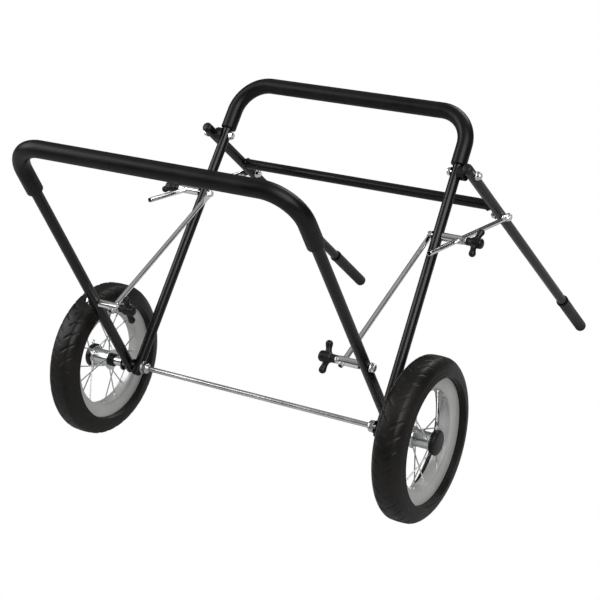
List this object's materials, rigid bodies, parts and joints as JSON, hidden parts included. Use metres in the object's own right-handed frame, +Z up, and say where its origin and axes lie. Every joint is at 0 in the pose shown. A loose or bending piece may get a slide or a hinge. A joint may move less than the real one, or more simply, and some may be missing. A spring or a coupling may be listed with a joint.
{
  "type": "bass drum trolley",
  "caption": "Folding two-wheeled trolley: two padded tube hoops in a V on one axle, a gripped support frame at the rear, telescopic rods with thumb-screw clamps, and spoked wheels.",
  "frame": {"origin": "on the ground, at the middle of the trolley's footprint box", "axes": "+X along the axle to the right wheel, +Y to the rear where the grips stand, +Z up"},
  "size_m": [0.7684, 1.2488, 0.6875],
  "materials": {
    "tyre": "matt black rubber",
    "rim": "silver-painted rim",
    "spoked_hub": "bright zinc-plated hub and spokes",
    "foam": "closed-cell black foam",
    "grip_rubber": "black rubber",
    "black_plastic": "moulded black plastic",
    "black_coat": "semi-gloss black powder coat",
    "zinc": "zinc plate",
    "chrome": "bright chrome plate"
  },
  "bodies": {
    "rear_frame": {"rear_hoop": "black_coat", "rear_foam_sleeve": "foam", "axle_rod": "zinc", "axle_nut_left": "zinc", "leg_spacer_left": "black_plastic", "hub_spacer_left": "chrome", "pivot_bolt_left": "chrome", "pivot_nut_left": "chrome", "pivot_saddle_left": "black_plastic", "rod_pivot_bolt_left": "chrome", "rod_pivot_washer_left": "chrome", "axle_nut_right": "zinc", "leg_spacer_right": "black_plastic", "hub_spacer_right": "chrome", "pivot_bolt_right": "chrome", "pivot_nut_right": "chrome", "pivot_saddle_right": "black_plastic", "rod_pivot_bolt_right": "chrome", "rod_pivot_washer_right": "chrome"},
    "front_frame": {"front_hoop": "black_coat", "front_foam_sleeve": "foam", "clamp_bolt_left": "chrome", "clamp_bolt_right": "chrome"},
    "support": {"support_frame": "black_coat", "support_leg_plug_left": "black_plastic", "grip_left": "grip_rubber", "brace_bolt_left": "chrome", "brace_nut_left": "chrome", "support_leg_plug_right": "black_plastic", "grip_right": "grip_rubber", "brace_bolt_right": "chrome", "brace_nut_right": "chrome"},
    "v_rod_left_body": {"v_rod_left": "chrome"},
    "front_clamp_left_body": {"front_clamp_left": "chrome"},
    "front_thumb_screw_left": {"front_screw_left": "zinc", "front_knob_left": "black_plastic"},
    "brace_left_body": {"brace_rod_left": "chrome"},
    "rear_clamp_left_body": {"rear_clamp_left": "chrome"},
    "rear_thumb_screw_left": {"rear_screw_left": "zinc", "rear_knob_left": "black_plastic"},
    "wheel_left": {"tyre_left": "tyre", "rim_left": "rim", "spoked_hub_left": "spoked_hub", "hub_bush_left": "black_plastic", "hub_cap_left": "black_plastic"},
    "latch_left": {"hub_latch_left": "chrome"},
    "v_rod_right_body": {"v_rod_right": "chrome"},
    "front_clamp_right_body": {"front_clamp_right": "chrome"},
    "front_thumb_screw_right": {"front_screw_right": "zinc", "front_knob_right": "black_plastic"},
    "brace_right_body": {"brace_rod_right": "chrome"},
    "rear_clamp_right_body": {"rear_clamp_right": "chrome"},
    "rear_thumb_screw_right": {"rear_screw_right": "zinc", "rear_knob_right": "black_plastic"},
    "wheel_right": {"tyre_right": "tyre", "rim_right": "rim", "spoked_hub_right": "spoked_hub", "hub_bush_right": "black_plastic", "hub_cap_right": "black_plastic"},
    "latch_right": {"hub_latch_right": "chrome"}
  },
  "joints": [
    {"name": "front_hoop_fold", "type": "hinge", "parent": "rear_frame", "child": "front_frame", "pos_m": [0, -0.31024, 0.15], "axis": [-1, 0, 0], "range_deg": [0, 56]},
    {"name": "support_frame_fold", "type": "hinge", "parent": "rear_frame", "child": "support", "pos_m": [0, -0.00252, 0.53964], "axis": [1, 0, 0], "range_deg": [0, 81.5]},
    {"name": "v_rod_left_turn", "type": "hinge", "parent": "rear_frame", "child": "v_rod_left_body", "pos_m": [-0.24456, -0.08092, 0.44037], "axis": [1, 0, 0], "range_deg": [0, 18.25]},
    {"name": "front_clamp_left_slide", "type": "slide", "parent": "v_rod_left_body", "child": "front_clamp_left_body", "axis": [0, 0.9303, 0.3667], "range_m": [0, 0.15672]},
    {"name": "front_thumb_screw_left_turn", "type": "hinge", "parent": "front_clamp_left_body", "child": "front_thumb_screw_left", "pos_m": [-0.23616, -0.40367, 0.31314], "axis": [1, 0, 0], "range_deg": [0, 450]},
    {"name": "brace_left_turn", "type": "hinge", "parent": "support", "child": "brace_left_body", "pos_m": [-0.3017, 0.14022, 0.4173], "axis": [-1, 0, 0], "range_deg": [0, 30.31]},
    {"name": "rear_clamp_left_slide", "type": "slide", "parent": "brace_left_body", "child": "rear_clamp_left_body", "axis": [0, -0.9946, 0.1038], "range_m": [0, 0.09092]},
    {"name": "rear_thumb_screw_left_turn", "type": "hinge", "parent": "rear_clamp_left_body", "child": "rear_thumb_screw_left", "pos_m": [-0.3101, -0.08092, 0.44037], "axis": [1, 0, 0], "range_deg": [0, 450]},
    {"name": "wheel_left_spin", "type": "hinge", "parent": "rear_frame", "child": "wheel_left", "pos_m": [-0.3484, -0.31024, 0.15], "axis": [1, 0, 0], "continuous": true},
    {"name": "latch_left_slide", "type": "slide", "parent": "wheel_left", "child": "latch_left", "axis": [0, 0, 1], "range_m": [0, 0.0035], "stiffness_N_per_m": 300, "springref_m": -0.003},
    {"name": "v_rod_right_turn", "type": "hinge", "parent": "rear_frame", "child": "v_rod_right_body", "pos_m": [0.24456, -0.08092, 0.44037], "axis": [1, 0, 0], "range_deg": [0, 18.25]},
    {"name": "front_clamp_right_slide", "type": "slide", "parent": "v_rod_right_body", "child": "front_clamp_right_body", "axis": [0, 0.9303, 0.3667], "range_m": [0, 0.15672]},
    {"name": "front_thumb_screw_right_turn", "type": "hinge", "parent": "front_clamp_right_body", "child": "front_thumb_screw_right", "pos_m": [0.23616, -0.40367, 0.31314], "axis": [1, 0, 0], "range_deg": [0, 450]},
    {"name": "brace_right_turn", "type": "hinge", "parent": "support", "child": "brace_right_body", "pos_m": [0.3017, 0.14022, 0.4173], "axis": [-1, 0, 0], "range_deg": [0, 30.31]},
    {"name": "rear_clamp_right_slide", "type": "slide", "parent": "brace_right_body", "child": "rear_clamp_right_body", "axis": [0, -0.9946, 0.1038], "range_m": [0, 0.09092]},
    {"name": "rear_thumb_screw_right_turn", "type": "hinge", "parent": "rear_clamp_right_body", "child": "rear_thumb_screw_right", "pos_m": [0.3101, -0.08092, 0.44037], "axis": [1, 0, 0], "range_deg": [0, 450]},
    {"name": "wheel_right_spin", "type": "hinge", "parent": "rear_frame", "child": "wheel_right", "pos_m": [0.3484, -0.31024, 0.15], "axis": [1, 0, 0], "continuous": true},
    {"name": "latch_right_slide", "type": "slide", "parent": "wheel_right", "child": "latch_right", "axis": [0, 0, 1], "range_m": [0, 0.0035], "stiffness_N_per_m": 300, "springref_m": -0.003}
  ],
  "couplings": [
    {"joint": "v_rod_left_turn", "follows": "front_hoop_fold", "ratio": 0.32561},
    {"joint": "front_clamp_left_slide", "follows": "front_hoop_fold", "m_per_rad": 0.16024},
    {"joint": "brace_left_turn", "follows": "support_frame_fold", "ratio": 0.37182},
    {"joint": "rear_clamp_left_slide", "follows": "support_frame_fold", "m_per_rad": 0.063843},
    {"joint": "v_rod_right_turn", "follows": "front_hoop_fold", "ratio": 0.32561},
    {"joint": "front_clamp_right_slide", "follows": "front_hoop_fold", "m_per_rad": 0.16024},
    {"joint": "brace_right_turn", "follows": "support_frame_fold", "ratio": 0.37182},
    {"joint": "rear_clamp_right_slide", "follows": "support_frame_fold", "m_per_rad": 0.063843}
  ]
}
